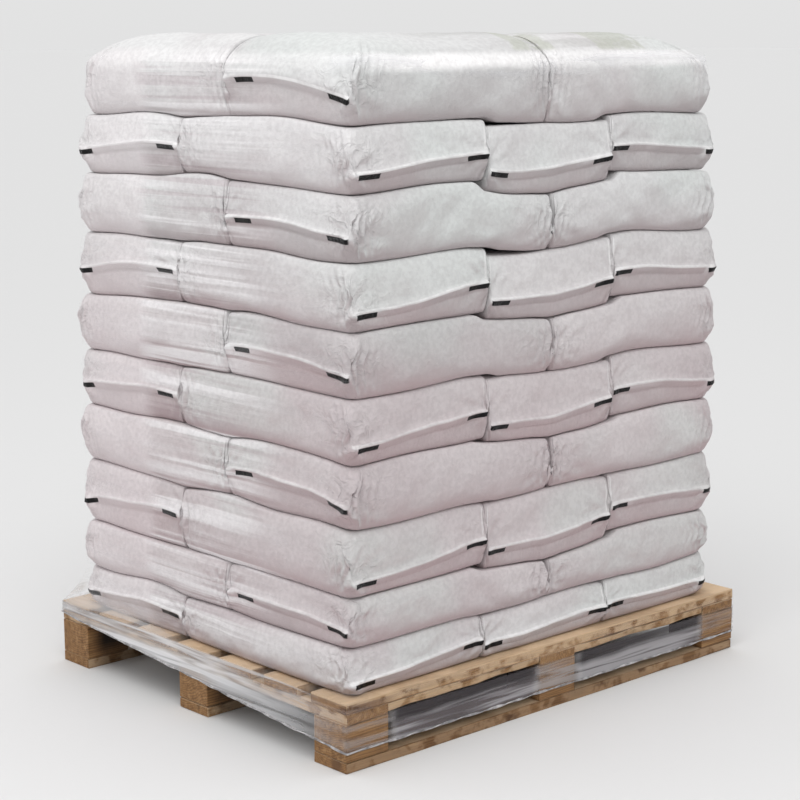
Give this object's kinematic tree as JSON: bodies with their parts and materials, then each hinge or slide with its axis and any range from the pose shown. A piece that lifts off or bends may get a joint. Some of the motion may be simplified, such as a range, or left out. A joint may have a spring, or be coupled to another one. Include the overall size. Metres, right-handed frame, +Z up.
{
  "type": "pallet of sacks",
  "caption": "Wooden block pallet stacked with filled white plastic sacks in interlocked layers, held together by clear stretch film.",
  "frame": {"origin": "on the floor, under the middle of the pallet", "axes": "+X along the pallet's long side, +Y along its short side away from the front, +Z up"},
  "size_m": [1.2036, 1.0036, 1.4329],
  "materials": {
    "pallet_wood": "sawn softwood, dry",
    "sack_plastic": "satin white plastic film",
    "stretch_film": "clear glossy film with stretch streaks"
  },
  "bodies": {
    "root": {"bottom_board_front": "pallet_wood", "bottom_board_middle": "pallet_wood", "bottom_board_back": "pallet_wood", "block_front_left": "pallet_wood", "block_front_middle": "pallet_wood", "block_front_right": "pallet_wood", "block_middle_left": "pallet_wood", "block_middle_middle": "pallet_wood", "block_middle_right": "pallet_wood", "block_back_left": "pallet_wood", "block_back_middle": "pallet_wood", "block_back_right": "pallet_wood", "stringer_board_left": "pallet_wood", "stringer_board_middle": "pallet_wood", "stringer_board_right": "pallet_wood", "deck_board_1": "pallet_wood", "deck_board_2": "pallet_wood", "deck_board_3": "pallet_wood", "deck_board_4": "pallet_wood", "deck_board_5": "pallet_wood", "deck_board_6": "pallet_wood", "deck_board_7": "pallet_wood", "sack_layer_01": "sack_plastic", "sack_layer_02": "sack_plastic", "sack_layer_03": "sack_plastic", "sack_layer_04": "sack_plastic", "sack_layer_05": "sack_plastic", "sack_layer_06": "sack_plastic", "sack_layer_07": "sack_plastic", "sack_layer_08": "sack_plastic", "sack_layer_09": "sack_plastic", "sack_layer_10": "sack_plastic", "stretch_film": "stretch_film"}
  },
  "joints": []
}
